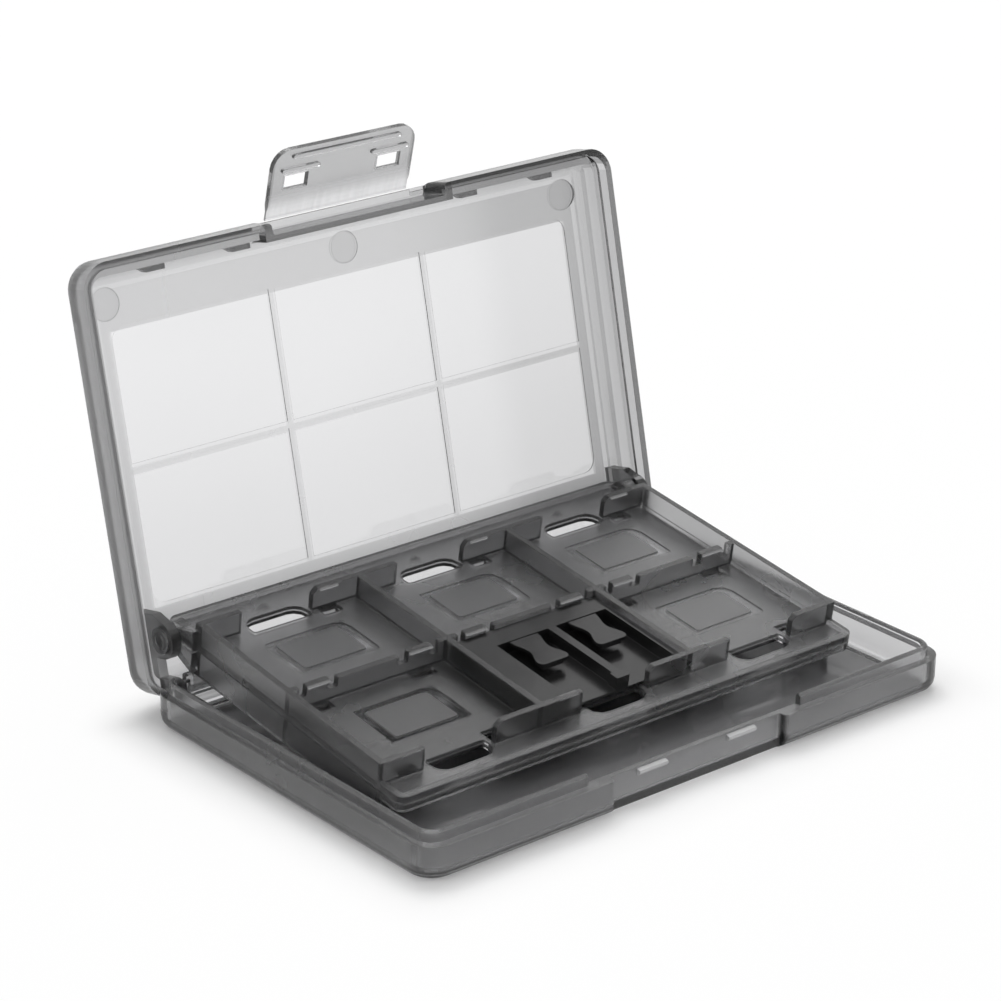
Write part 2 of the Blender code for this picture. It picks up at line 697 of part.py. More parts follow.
def nub_spans(centre):
    """Where one column's back nub and front nub stand along X."""
    back_end = centre + HALF_PITCH - BACK_NUB_INSET
    front_start = centre - HALF_PITCH + FRONT_NUB_INSET
    return (back_end - NUB_L, back_end), (front_start, front_start + NUB_L)


def pocket_holes(centre, floor, under):
    """The holes through one column's skin: under each nub, beside one stub and for the thumbs."""
    left_hook = (centre - LEFT_HOOK_FROM, centre - LEFT_HOOK_TO)
    right_hook = (centre + RIGHT_HOOK_FROM, centre + RIGHT_HOOK_TO)
    back_nub, front_nub = nub_spans(centre)
    stub_x = centre + HALF_PITCH - FRONT_STUB_RIGHT
    stub = (stub_x, stub_x + STUB_HOLE_W)
    thumb = (centre - THUMB_HALF_W, centre + THUMB_HALF_W)
    wide = THUMB_CORNER_R
    tight = THUMB_EDGE_R
    holes = [
        rectangle(*back_nub, row_y(CORE_HOLE_L), row_y(0)),
        rectangle(*left_hook, row_y(ROW_WALL_FRONT + CORE_HOLE_L), row_y(ROW_WALL_FRONT)),
        rectangle(*right_hook, row_y(ROW_WALL_FRONT + CORE_HOLE_L), row_y(ROW_WALL_FRONT)),
        rectangle(*front_nub, row_y(FRONT_LINE), row_y(FRONT_LINE - CORE_HOLE_L)),
        rectangle(*stub, row_y(FRONT_LINE), row_y(FRONT_LINE - STUB_HOLE_W)),
        rounded(*thumb, row_y(THUMB_INSIDE), row_y(-THUMB_OUTSIDE), (wide, wide, tight, tight), 3),
        rounded(*thumb, row_y(FRONT_LINE + THUMB_OUTSIDE), row_y(FRONT_LINE - THUMB_INSIDE),
                (tight, tight, wide, wide), 3),
    ]
    return [(hole, "Z", under - OVERRUN, floor + TRAY_RIM_H / 2) for hole in holes]


def pocket_nubs(centre):
    """The four snap nubs of one column of pockets."""
    back_nub, front_nub = nub_spans(centre)
    return [nub(*back_nub, 0, NUB_REACH),
            nub(centre - LEFT_HOOK_FROM, centre - LEFT_HOOK_TO, ROW_WALL_FRONT, NUB_REACH),
            nub(centre + RIGHT_HOOK_FROM, centre + RIGHT_HOOK_TO, ROW_WALL_FRONT, NUB_REACH),
            nub(*front_nub, FRONT_LINE, -NUB_REACH)]


def icon(centre, first, floor):
    """A sunk frame round a raised label on a pocket floor, with one corner of each well rounded."""
    x0 = centre - ICON_LEFT
    y1 = row_y(first + ICON_BACK)
    small = ICON_SMALL_R
    outer = rounded(x0, x0 + ICON_W, y1 - ICON_L, y1, (ICON_BIG_R, small, small, small), EDGE_STEPS)
    x1 = x0 + ICON_W - LABEL_RIGHT
    y0 = y1 - ICON_L + LABEL_END
    label_radii = (ICON_BIG_R / 2, small, small, small)
    label = rounded(x0 + LABEL_LEFT, x1, y0, y1 - LABEL_END, label_radii, EDGE_STEPS)
    return frame_prism("icon", outer, label, floor - ICON_SINK, floor + ICON_SINK)


def tray_half(name):
    floor = depth_z(TRAY_POCKET_DEPTH)
    under = floor - TRAY_SKIN_T
    buried = floor - TRAY_SKIN_T / 2
    top = depth_z(0)
    half = TRAY_HALF_W
    back = row_y(-TRAY_BACK_STRIP)
    front = row_y(FRONT_LINE + TRAY_FRONT_STRIP)
    r = TRAY_EDGE_R
    edge = rounded(-half, half, front, back, (r, r, r, r))
    rim = TRAY_RIM_W
    r -= rim
    inner = rounded(-half + rim, half - rim, front + rim, back - rim, (r, r, r, r))
    tray = prisms(name, [(edge, "Z", under, floor)])
    combine(tray, frame_prism("rim", edge, inner, buried, floor + TRAY_RIM_H), "UNION")

    # Walls: one at each side, two between columns, and three across
    t = TRAY_WALL_T
    wall_front = row_y(FRONT_LINE + t)
    wall_back = row_y(-t)
    uprights = [rectangle(x0, x1, wall_front, wall_back) for x0, x1 in both_sides(half - t, half)]
    uprights += [rectangle(x0, x1, wall_front + t / 2, wall_back - t / 2)
                 for x0, x1 in both_sides(HALF_PITCH - t / 2, HALF_PITCH + t / 2)]
    fuse(tray, [(upright, "Z", buried, top) for upright in uprights])
    fuse(tray, gapped_wall(0, BACK_STUB_LEFT, BACK_STUB_RIGHT))
    fuse(tray, gapped_wall(FRONT_LINE + t, FRONT_STUB_LEFT, FRONT_STUB_RIGHT))
    fuse(tray, [row_wall()])

    for centre in COLUMN_CENTRES:
        fuse(tray, pocket_nubs(centre))
        cut(tray, pocket_holes(centre, floor, under))
        combine(tray, icon(centre, 0, floor), "DIFFERENCE")
        combine(tray, icon(centre, ROW_WALL_FRONT, floor), "DIFFERENCE")

    # Half of each pivot boss behind the side wall, with half of the bush's socket
    arm = wall_back - t
    boss = [(arm, under), (arm, top - STUB_CHAMFER)]
    low = math.degrees(math.asin((under - PIVOT.z) / BOSS_R))
    boss += arc(PIVOT.y, PIVOT.z, BOSS_R, 120, low, 8)
    fuse(tray, [(boss, "X", x0, x1) for x0, x1 in both_sides(half - t, ARM_INNER_X - BOSS_SIDE_GAP)])
    socket = disc(PIVOT.y, PIVOT.z, BUSH_R + RUNNING_GAP)
    socket_x = both_sides(ARM_INNER_X - BUSH_INSIDE - MOULD_GAP, ARM_INNER_X)
    cut(tray, [(socket, "X", x0, x1) for x0, x1 in socket_x])
    return tray


def turned_over(tray, name):
    """The other half of the leaf: the mirror image below the parting plane."""
    mesh = tray.data.copy()
    mesh.transform(Matrix.Diagonal((1, 1, -1, 1)))
    mesh.transform(Matrix.Translation((0, 0, 2 * PIVOT.z * MM)))
    mesh.flip_normals()
    other = bpy.data.objects.new(name, mesh)
    bpy.context.scene.collection.objects.link(other)
    return other


# Pivot bushes: short hollow pins through the lid's ears into the tray's bosses

def pivot_bush(name, side):
    """One bush: side is 1 for the right end and -1 for the left."""
    near = side * (ARM_INNER_X - BUSH_INSIDE)
    far = side * BUSH_OUTER_X
    collar_near = side * (ARM_OUTER_X + COLLAR_GAP)
    collar_far = collar_near + side * COLLAR_T
    bush = prisms(name, [(disc(PIVOT.y, PIVOT.z, BUSH_R), "X", near, far)])
    fuse(bush, [(disc(PIVOT.y, PIVOT.z, COLLAR_R), "X", collar_near, collar_far)])
    overrun = side * OVERRUN
    cut(bush, [(disc(PIVOT.y, PIVOT.z, BUSH_BORE_R), "X", near - overrun, far + overrun)])
    return bush


# Memory-card holder: a black block in the front middle pocket, with two bays and a spring tongue in each

def card_holder():
    half = HOLDER_HALF_W
    back = row_y(ROW_WALL_FRONT + HOLDER_GAP)
    front = row_y(FRONT_LINE - HOLDER_GAP)
    bottom = depth_z(TRAY_POCKET_DEPTH - HOLDER_GAP)
    top = depth_z(HOLDER_TOP_DROP)
    holder = prisms("card_holder", [(rectangle(-half, half, front, back), "Z", bottom, top)])
    bays = []
    for centre in BAY_CENTRES:
        bay = rectangle(centre - BAY_W / 2, centre + BAY_W / 2, front - OVERRUN, back - BAY_BACK)
        bays.append((bay, "Z", bottom + HOLDER_FLOOR_T, top + OVERRUN))
    cut(holder, bays)
    rail = sum(BAY_CENTRES) / len(BAY_CENTRES)
    block = rectangle(rail - RAIL_BLOCK_W / 2, rail + RAIL_BLOCK_W / 2, front, front + RAIL_BLOCK_L)
    fuse(holder, [(block, "Z", bottom + HOLDER_FLOOR_T / 2, top)])
    return holder


def tongue_outline(centre, root_y):
    """A spring tongue in plan: a narrow waist between its root and a flared tip."""
    right = []
    for i in range(TONGUE_STEPS + 1):
        s = i / TONGUE_STEPS
        swing = (1 - math.cos(math.pi * s)) / 2
        half = TONGUE_ROOT_HALF_W + (TONGUE_WAIST_HALF_W - TONGUE_ROOT_HALF_W) * swing
        right.append((half, root_y - TONGUE_WAIST_AT * s))
    flare_l = TONGUE_L - TONGUE_WAIST_AT - TONGUE_TIP_R
    for i in range(1, TONGUE_STEPS + 1):
        s = i / TONGUE_STEPS
        swing = (1 - math.cos(math.pi * s)) / 2
        half = TONGUE_WAIST_HALF_W + (TONGUE_TIP_HALF_W - TONGUE_WAIST_HALF_W) * swing
        right.append((half, root_y - TONGUE_WAIST_AT - flare_l * s))
    tip = arc(TONGUE_TIP_HALF_W - TONGUE_TIP_R, root_y - TONGUE_L + TONGUE_TIP_R, TONGUE_TIP_R, 0, -90, 4)
    right += tip[1:]
    return [(centre + x, y) for x, y in right] + [(centre - x, y) for x, y in reversed(right)]


def spring_tongue(name, centre, root_y):
    top = depth_z(HOLDER_TOP_DROP)
    tongue = prisms(name, [(tongue_outline(centre, root_y), "Z", top - TONGUE_T, top)])
    half = TONGUE_TIP_HALF_W - TONGUE_TIP_R
    tip = root_y - TONGUE_L + TONGUE_LIP_BACK
    lip = rectangle(centre - half, centre + half, tip, tip + TONGUE_LIP_L)
    fuse(tongue, [(lip, "Z", top - TONGUE_T - TONGUE_LIP_H, top - TONGUE_T / 2)])
    return tongue


# Assembly: each piece goes on its joint, then the joints swing to the open pose

def assemble():
    lid_joint = joint("lid_hinge_axis", HINGE, -LID_OPEN_DEG)
    flap_joint = joint("flap_crease_axis", CREASE, -FLAP_OPEN_DEG, lid_joint)
    tray_joint = joint("tray_pivot_axis", PIVOT, LID_OPEN_DEG + TRAY_TILT_DEG, lid_joint)
    finish(base_shell(), SMOKE, SATIN_ROUGHNESS)
    finish(lid_shell(), PALE_SMOKE, SATIN_ROUGHNESS, lid_joint, HINGE)
    finish(latch_flap(), PALE_SMOKE, SATIN_ROUGHNESS, flap_joint, CREASE)
    for name, side in (("pivot_bush_left", -1), ("pivot_bush_right", 1)):
        finish(pivot_bush(name, side), PALE_SMOKE, SATIN_ROUGHNESS, tray_joint, PIVOT)
    upper = tray_half("tray_upper_half")
    lower = turned_over(upper, "tray_lower_half")
    finish(upper, SMOKE, SATIN_ROUGHNESS, tray_joint, PIVOT)
    finish(lower, SMOKE, SATIN_ROUGHNESS, tray_joint, PIVOT)
    finish(card_holder(), BLACK, GLOSS_ROUGHNESS, tray_joint, PIVOT)
    root_y = row_y(ROW_WALL_FRONT + HOLDER_GAP) - BAY_BACK - MOULD_GAP
    root_z = depth_z(HOLDER_TOP_DROP + TONGUE_T / 2)
    for name, centre in zip(("spring_tongue_left", "spring_tongue_right"), BAY_CENTRES):
        root = Vector((centre, root_y, root_z))
        tongue_joint = joint(name + "_root", root, 0, tray_joint)
        finish(spring_tongue(name, centre, root_y), BLACK, GLOSS_ROUGHNESS, tongue_joint, root)


assemble()
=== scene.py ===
"""An empty card case of smoky clear plastic, open on a white table. Lengths are in metres."""

import math

import bpy
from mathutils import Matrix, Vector


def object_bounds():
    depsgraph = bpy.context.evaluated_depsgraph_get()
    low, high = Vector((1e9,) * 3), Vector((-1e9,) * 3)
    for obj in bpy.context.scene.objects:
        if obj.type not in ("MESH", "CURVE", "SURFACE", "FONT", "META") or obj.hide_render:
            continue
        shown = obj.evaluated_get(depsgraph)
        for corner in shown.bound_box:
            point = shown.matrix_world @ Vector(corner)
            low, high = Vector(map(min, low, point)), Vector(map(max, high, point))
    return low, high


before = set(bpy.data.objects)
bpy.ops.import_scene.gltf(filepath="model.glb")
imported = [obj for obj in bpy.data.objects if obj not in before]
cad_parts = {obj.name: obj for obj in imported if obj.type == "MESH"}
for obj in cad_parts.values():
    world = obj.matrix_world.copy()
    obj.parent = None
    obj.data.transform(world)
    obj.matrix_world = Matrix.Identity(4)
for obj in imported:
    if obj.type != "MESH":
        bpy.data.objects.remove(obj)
cad_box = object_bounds()
mm = 0.001


# Table, backdrop and light: a seamless white sweep under a large soft light, as in a catalogue
# photograph. The table keeps only a faint contact shadow, and gloss and clear plastic
# see the same white that the camera sees.

ROOM_LIGHT = 0.64
WHITE = (1, 1, 1, 1)
TABLE_WHITE = (0.99, 0.99, 0.99, 1)
TABLE_HALF = 3.0
TABLE_DROP = 0.02 * mm
CASE_HALF_W = cad_box[1][0]
CASE_HALF_D = -cad_box[0][1]
SHADOW_REACH = 13 * mm
OPEN_SHARE = 0.92


class Signal:
    """A socket that adds its Math nodes when it is used in an expression."""

    def __init__(self, look, socket):
        self.look = look
        self.socket = socket

    def _maths(self, operation, *values):
        return self.look.node("Math", {"operation": operation}, dict(enumerate(values)))

    def __add__(self, other):
        return self._maths("ADD", self, other)

    def __sub__(self, other):
        return self._maths("SUBTRACT", self, other)

    def __rsub__(self, other):
        return self._maths("SUBTRACT", other, self)

    def __mul__(self, other):
        return self._maths("MULTIPLY", self, other)

    def __lt__(self, other):
        return self._maths("LESS_THAN", self, other)

    def __gt__(self, other):
        return self._maths("GREATER_THAN", self, other)

    def __abs__(self):
        return self._maths("ABSOLUTE", self)

    def most(self, other):
        return self._maths("MAXIMUM", self, other)

    def least(self, other):
        return self._maths("MINIMUM", self, other)

    def root(self):
        return self._maths("SQRT", self)

    def folded(self, pitch):
        """The same value in each pitch, from 0 to the pitch."""
        return self._maths("WRAP", self, pitch, 0.0)

    def within(self, low, high):
        return (self > low) * (self < high)

    def ramp(self, start, end):
        """0 before start, 1 after end, smooth in between."""
        settings = {"interpolation_type": "SMOOTHSTEP"}
        return self.look.node("MapRange", settings, {"Value": self, "From Min": start, "From Max": end})

    __radd__ = __add__
    __rmul__ = __mul__


class Look:
    """The node tree of one finish, or of the world."""

    def __init__(self, tree):
        self.tree = tree
        tree.nodes.clear()

    def node(self, kind, settings=None, inputs=None, output=0):
        """Any node, from its type, its settings, and the values or signals of its sockets."""
        made = self.tree.nodes.new("ShaderNode" + kind)
        for key, value in (settings or {}).items():
            setattr(made, key, value)
        for key, value in (inputs or {}).items():
            if isinstance(value, Signal):
                self.tree.links.new(value.socket, made.inputs[key])
            else:
                made.inputs[key].default_value = value
        return Signal(self, made.outputs[output]) if made.outputs else made


def seen_white(look, lit, white):
    """The white that the camera, gloss and clear plastic see, over what lights the rest."""
    seen = None
    for ray in ("Is Camera Ray", "Is Glossy Ray", "Is Transmission Ray"):
        signal = look.node("LightPath", output=ray)
        seen = signal if seen is None else seen.most(signal)
    return look.node("MixShader", None, {0: seen, 1: lit, 2: white})


world = bpy.data.worlds.new("studio")
world.use_nodes = True
bpy.context.scene.world = world
studio = Look(world.node_tree)
room_light = studio.node("Background", None, {"Color": WHITE, "Strength": ROOM_LIGHT})
room_seen = studio.node("Background", None, {"Color": WHITE, "Strength": 1.0})
studio.node("OutputWorld", None, {"Surface": seen_white(studio, room_light, room_seen)})

table_mesh = bpy.data.meshes.new("table")
table_mesh.from_pydata([(-TABLE_HALF, -TABLE_HALF, -TABLE_DROP), (TABLE_HALF, -TABLE_HALF, -TABLE_DROP),
                        (TABLE_HALF, TABLE_HALF, -TABLE_DROP), (-TABLE_HALF, TABLE_HALF, -TABLE_DROP)],
                       [], [(0, 1, 2, 3)])
table = bpy.data.objects.new("table", table_mesh)
bpy.context.scene.collection.objects.link(table)
table_finish = bpy.data.materials.new("white_table")
table_finish.use_nodes = True
white = Look(table_finish.node_tree)
white_paint = white.node("BsdfPrincipled", None, {"Base Color": TABLE_WHITE, "Roughness": 0.6,
                                                  "Specular IOR Level": 0.0})
table_place = white.node("TexCoord", output="Object")
table_x = white.node("SeparateXYZ", None, {"Vector": table_place}, output="X")
past_x = (abs(table_x) - CASE_HALF_W).most(0.0)
table_y = white.node("SeparateXYZ", None, {"Vector": table_place}, output="Y")
past_y = (abs(table_y) - CASE_HALF_D).most(0.0)
past_case = (past_x * past_x + past_y * past_y).root()
white_open = white.node("Emission", None, {"Color": WHITE, "Strength": 1.0})
open_share = past_case.ramp(0.0, SHADOW_REACH) * OPEN_SHARE
white_seen = white.node("MixShader", None, {0: open_share, 1: white_paint, 2: white_open})
white.node("OutputMaterial", None, {"Surface": seen_white(white, white_paint, white_seen)})
table_mesh.materials.append(table_finish)


def soft_lamp(name, place, aim, width, height, power):
    lamp = bpy.data.lights.new(name, "AREA")
    lamp.shape = "RECTANGLE"
    lamp.size = width
    lamp.size_y = height
    lamp.energy = power
    softbox = bpy.data.objects.new(name, lamp)
    softbox.location = place
    softbox.rotation_euler = (Vector(aim) - Vector(place)).to_track_quat("-Z", "Y").to_euler()
    bpy.context.scene.collection.objects.link(softbox)


soft_lamp("top_softbox", place=(0.35, 0.5, 1.1), aim=(0, 0.02, 0.02), width=1.0, height=0.8, power=6.4)
soft_lamp("left_softbox", place=(-1.0, -0.1, 0.6), aim=(0, 0, 0.03), width=0.7, height=0.7, power=1.2)


# Camera: a long lens, above and to the left of the front, as the photograph was taken.
# Its place was fitted to the photograph, with the pitch of the card pockets as the scale.

camera_data = bpy.data.cameras.new("camera")
camera_data.sensor_width = 36.0
camera_data.lens = 121.637
camera_data.clip_start = 0.01
camera = bpy.data.objects.new("camera", camera_data)
camera.location = (-350.064 * mm, -402.992 * mm, 257.054 * mm)
camera.rotation_euler = [math.radians(a) for a in (67.7334, -0.4956, -39.7536)]
bpy.context.scene.collection.objects.link(camera)
bpy.context.scene.camera = camera


# Base: one injection moulding in smoky clear plastic, with satin outer walls and a polished inside
# that mirrors the leaf above it. It snaps onto the lid's knuckles at its two back lugs.

PLASTIC_IOR = 1.49
BEVEL_SAMPLES = 4
SPECK_R = 0.05
SPECK_CHANCE = 0.8
BASE_MIDDLE = Vector((0, 0, 3.2)) * mm
BASE_TINT = 0.97
BASE_DYE = 135.0
BASE_HAZE = 0.12
HAZE_SHADE = 0.32
SATIN = 0.26
POLISH = 0.07
CATCH_MIDDLE_X = 10.05 * mm
CATCH_HALF_W = 3.2 * mm
CATCH_FACE_Y = -36.45 * mm
CATCH_LOW_Z = 4.9 * mm
# The catches are made paler as a painted highlight.
CATCH_PAINTED_HIGHLIGHT = 0.5
CATCH_HIGHLIGHT_SHARE = 0.3
BACK_LIP_Y = 34.0 * mm
BACK_LIP_Z = 5.5 * mm
BACK_LIP_HALF_W = 51.0 * mm
# The back lip is made paler as a painted highlight.
BACK_LIP_PAINTED_HIGHLIGHT = 0.48
BACK_LIP_HIGHLIGHT_SHARE = 0.4
FLOOR_HALF_W = 55.5 * mm
FLOOR_HALF_D = 34.5 * mm
FLOOR_TOP = 1.2 * mm
# The base's floor is tinted darker as painted shade, the shadow under the case.
FLOOR_PAINTED_SHADE = 0.33
GATE = Vector((-58.85, 17.3, 2.5)) * mm
GATE_R = 0.5 * mm
# The gate mark is a sunk dimple, darkened as painted shade.
GATE_PAINTED_SHADE = 0.6
GATE_SINK = 30.0


class Plastic(Look):
    """Clear plastic with a grey dye: it darkens with the thickness of the wall."""

    def __init__(self, name):
        self.finish = bpy.data.materials.new(name)
        self.finish.use_nodes = True
        super().__init__(self.finish.node_tree)
        self.place = self.node("TexCoord", output="Object")
        self.normal = self.node("TexCoord", output="Normal")
        self.x, self.y, self.z = (self.node("SeparateXYZ", None, {"Vector": self.place}, output=axis)
                                  for axis in "XYZ")

    def noise(self, scale, detail=2.0):
        return self.node("TexNoise", None, {"Vector": self.place, "Scale": scale, "Detail": detail})

    def grey(self, shade):
        """A neutral colour from a shade, a very little cooler than grey."""
        return self.node("CombineColor", None, {"Red": shade, "Green": shade, "Blue": shade * 1.01})

    def away(self, origin):
        return self.node("VectorMath", {"operation": "SUBTRACT"}, {0: self.place, 1: origin})

    def along(self, origin, direction):
        """Distance of a point from an origin along a direction."""
        return self.node("VectorMath", {"operation": "DOT_PRODUCT"}, {0: self.away(origin), 1: direction},
                         output="Value")

    def outside(self, middle):
        """1 on the faces that look away from the middle of the moulding, 0 on those that look in."""
        return self.node("VectorMath", {"operation": "DOT_PRODUCT"}, {0: self.away(middle), 1: self.normal},
                         output="Value") > 0.0

    def relief(self, height, depth, edge):
        """Bumps over edges that are rounded in the render."""
        rounded = self.node("Bevel", {"samples": BEVEL_SAMPLES}, {"Radius": edge})
        return self.node("Bump", None, {"Strength": 1.0, "Distance": depth, "Height": height,
                                        "Normal": rounded})

    def edges(self, radius):
        """1 along the edges of the moulding, 0 on its faces."""
        rounded = self.node("Bevel", {"samples": BEVEL_SAMPLES}, {"Radius": radius})
        face = self.node("NewGeometry", output="Normal")
        agree = self.node("VectorMath", {"operation": "DOT_PRODUCT"}, {0: rounded, 1: face}, output="Value")
        return (1 - agree).ramp(0.01, 0.2)

    def specks(self, scale):
        """Specks of dust at the middle of a few cells of a scattered pattern."""
        cells = {"Vector": self.place, "Scale": scale}
        middle = self.node("TexVoronoi", {"feature": "F1"}, cells) < SPECK_R
        chance = self.node("TexVoronoi", {"feature": "F1"}, cells, output="Color")
        return middle * (self.node("SeparateColor", None, {"Color": chance}) > SPECK_CHANCE)

    def clear(self, colour, roughness, relief):
        """The part of the light that goes through, or mirrors off the face."""
        return self.node("BsdfPrincipled", None, {"Base Color": colour, "Roughness": roughness,
                                                  "IOR": PLASTIC_IOR, "Transmission Weight": 1.0,
                                                  "Normal": relief})

    def solid(self, colour, roughness, relief):
        """The part that a frosted, rubbed or opaque face throws back."""
        return self.node("BsdfPrincipled", None, {"Base Color": colour, "Roughness": roughness,
                                                  "IOR": PLASTIC_IOR, "Normal": relief})

    def mix(self, share, first, second):
        return self.node("MixShader", None, {0: share, 1: first, 2: second})

    def done(self, surface, dye=None):
        outputs = {"Surface": surface}
        if dye:
            outputs["Volume"] = self.node("VolumeAbsorption", None, {"Color": (0, 0, 0, 1), "Density": dye})
        self.node("OutputMaterial", None, outputs)
        return self.finish


def dress(node, finish):
    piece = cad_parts[node]
    piece.data.materials.clear()
    piece.data.materials.append(finish)


def satin_grain(look, fine=2400.0, wave=130.0):
    """The fine texture of an eroded mould, with slow waves where the plastic sank as it cooled."""
    return look.noise(fine) * 0.5 + look.noise(wave) * 2.0


def base_plastic():
    look = Plastic("base_plastic")
    cloud = look.noise(45.0, 3.0)
    outside = look.outside(BASE_MIDDLE)
    catch = abs(abs(look.x) - CATCH_MIDDLE_X) < CATCH_HALF_W
    catch = catch * (look.y < CATCH_FACE_Y) * (look.z > CATCH_LOW_Z)
    lip = (look.y > BACK_LIP_Y) * (look.z > BACK_LIP_Z) * (abs(look.x) < BACK_LIP_HALF_W)
    floor = (abs(look.x) < FLOOR_HALF_W) * (abs(look.y) < FLOOR_HALF_D) * (look.z < FLOOR_TOP)
    gate = look.node("VectorMath", {"operation": "LENGTH"}, {0: look.away(GATE)}, output="Value") < GATE_R
    relief = look.relief(satin_grain(look) - gate * GATE_SINK, depth=0.006 * mm, edge=0.15 * mm)
    rough = POLISH + outside * (SATIN - POLISH) + (cloud - 0.5) * 0.08
    # The tint is darker on the floor and in the gate mark, as painted shade.
    tint = (BASE_TINT + (cloud - 0.5) * 0.05) * (1 - floor * FLOOR_PAINTED_SHADE) * (1 - gate * GATE_PAINTED_SHADE)
    clear = look.clear(look.grey(tint), rough, relief)
    # The catches and the back lip get a paler haze as painted highlights.
    haze = look.solid(look.grey(HAZE_SHADE + catch * CATCH_PAINTED_HIGHLIGHT + lip * BACK_LIP_PAINTED_HIGHLIGHT), SATIN, relief)
    share = outside * (BASE_HAZE + (cloud - 0.5) * 0.04) + catch * CATCH_HIGHLIGHT_SHARE + lip * BACK_LIP_HIGHLIGHT_SHARE
    return look.done(look.mix(share, clear, haze), BASE_DYE)


dress("base_shell", base_plastic())


# Lid: the same plastic, moulded thin. Its border and the bars between the panes are frosted,
# and the six panes are polished so that a cover card can be read through them.

HINGE = Vector((0, 36.8, 5.4)) * mm
LID_UP = Vector((0, 0.21985, 0.97553))
LID_OUT = Vector((0, 0.97553, -0.21985))
LID_FRONT = 75.05 * mm
LID_MIDDLE = HINGE + LID_UP * 36.8 * mm + LID_OUT * 2.0 * mm
PLATE_FACE = 7.83 * mm
WALL_T = 2.8 * mm
WINDOW_HALF_W = 51.0 * mm
WINDOW_MIDDLE = 37.3 * mm
WINDOW_HALF_H = 24.6 * mm
BAR_HALF_W = 0.65 * mm
BAR_PALE = 0.12
PANE_PITCH = 34.0 * mm
DISC_SIDE_X = 51.3 * mm
DISC_UP = 66.85 * mm
DISC_R = 2.9 * mm
DISC_LINE = 0.09 * mm
DISC_SHADE = 0.12
RING_SHADE = 0.3
TAB_OUTER_X = 43.6 * mm
TAB_INNER_X = 25.6 * mm
TAB_HALF_W = 3.0 * mm
TAB_REACH = 1.15 * mm
TAB_OUT = 5.6 * mm
TAB_PAINTED_SHADE = 0.7
SEAM_X = 40.9 * mm
SEAM_HALF_W = 0.08 * mm
SEAM_FOOT = 9 * mm
SEAM_TOP = 12.6 * mm
SEAM_SHADE = 0.2
SIDE_FACE = 57.5 * mm
RECESS_HALF_W = 20.9 * mm
RECESS_DEPTH = 3.6 * mm
INNER_OUT = PLATE_FACE - 0.3 * mm
STEP_PAINTED_SHADE = 0.68
EAR_MIDDLE_X = 54.1 * mm
EAR_HALF_W = 1.0 * mm
EAR_TOP = 13.5 * mm
EAR_OUT = 7.2 * mm
EAR_PAINTED_SHADE = 0.72
FRONT_WALL_X = 19.5 * mm
FRONT_WALL_PAINTED_SHADE = 0.4
RIM_T = 1.0 * mm
RIM_PAINTED_SHADE = 0.3
FOOT_UP = 5.0 * mm
PANE_TINT = 0.93
FROST_TINT = 0.94
FROST_ROUGH = 0.26
LID_HAZE = 0.06
LID_HAZE_SHADE = 0.6
LID_DYE = 120.0


def pane_masks(look, up):
    """The six polished panes, and the bars between them."""
    side = abs(look.x)
    level = abs(up - WINDOW_MIDDLE)
    window = (side < WINDOW_HALF_W) * (level < WINDOW_HALF_H)
    bars = (abs(side - PANE_PITCH / 2) < BAR_HALF_W).most(level < BAR_HALF_W)
    return window * (1 - bars), window * bars


def disc_masks(look, up):
    """The three ejector marks and the fine rings round them."""
    level = up - DISC_UP
    side = abs(look.x).least(abs(abs(look.x) - DISC_SIDE_X))
    reach = (side * side + level * level).root()
    return reach < DISC_R, abs(reach - DISC_R) < DISC_LINE


def painted_shade_and_seams(look, up, out):
    """Painted shade on the tabs, the recess step, the ears, the right of the front wall and the outer rims,
    and the fine seams of its inserts.
    """
    side = abs(look.x)
    tab = (abs(side - TAB_OUTER_X) < TAB_HALF_W).most(abs(side - TAB_INNER_X) < TAB_HALF_W)
    tab = tab * up.within(LID_FRONT - WALL_T - TAB_REACH, LID_FRONT - WALL_T - 0.02 * mm) * (out < TAB_OUT)
    step = (side < RECESS_HALF_W) * (up > LID_FRONT - RECESS_DEPTH) * (out < INNER_OUT)
    ear = (abs(side - EAR_MIDDLE_X) < EAR_HALF_W) * (up < EAR_TOP) * (out < EAR_OUT)
    front = (look.x > FRONT_WALL_X) * (up > LID_FRONT - WALL_T - 0.3 * mm) * (out < INNER_OUT)
    painted_rim = (look.x > SIDE_FACE).most((up > LID_FRONT - RIM_T) * (look.x > FRONT_WALL_X))
    seam = (abs(side - SEAM_X) < SEAM_HALF_W) * up.within(SEAM_FOOT, SEAM_TOP)
    shade = (1 - tab * TAB_PAINTED_SHADE) * (1 - step * STEP_PAINTED_SHADE) * (1 - ear * EAR_PAINTED_SHADE)
    return shade * (1 - front * FRONT_WALL_PAINTED_SHADE) * (1 - painted_rim * RIM_PAINTED_SHADE) * (1 - seam * SEAM_SHADE)


def lid_painted_shade(look, up, bar):
    """Painted shade on the panes and the border, darker to the right and towards the foot, with the
    border's own darker tone, less on the bars.
    """
    pane = look.x.ramp(-20 * mm, 60 * mm) * 0.04 + (1 - up.ramp(8 * mm, 58 * mm)) * 0.11
    pane = pane + look.x.ramp(26 * mm, 38 * mm) * 0.06
    border = pane + 0.13 + look.x.ramp(8 * mm, 42 * mm) * 0.11 + (1 - up.ramp(6 * mm, 14 * mm)) * 0.17
    return pane, (border - bar * BAR_PALE) * (up > FOOT_UP)


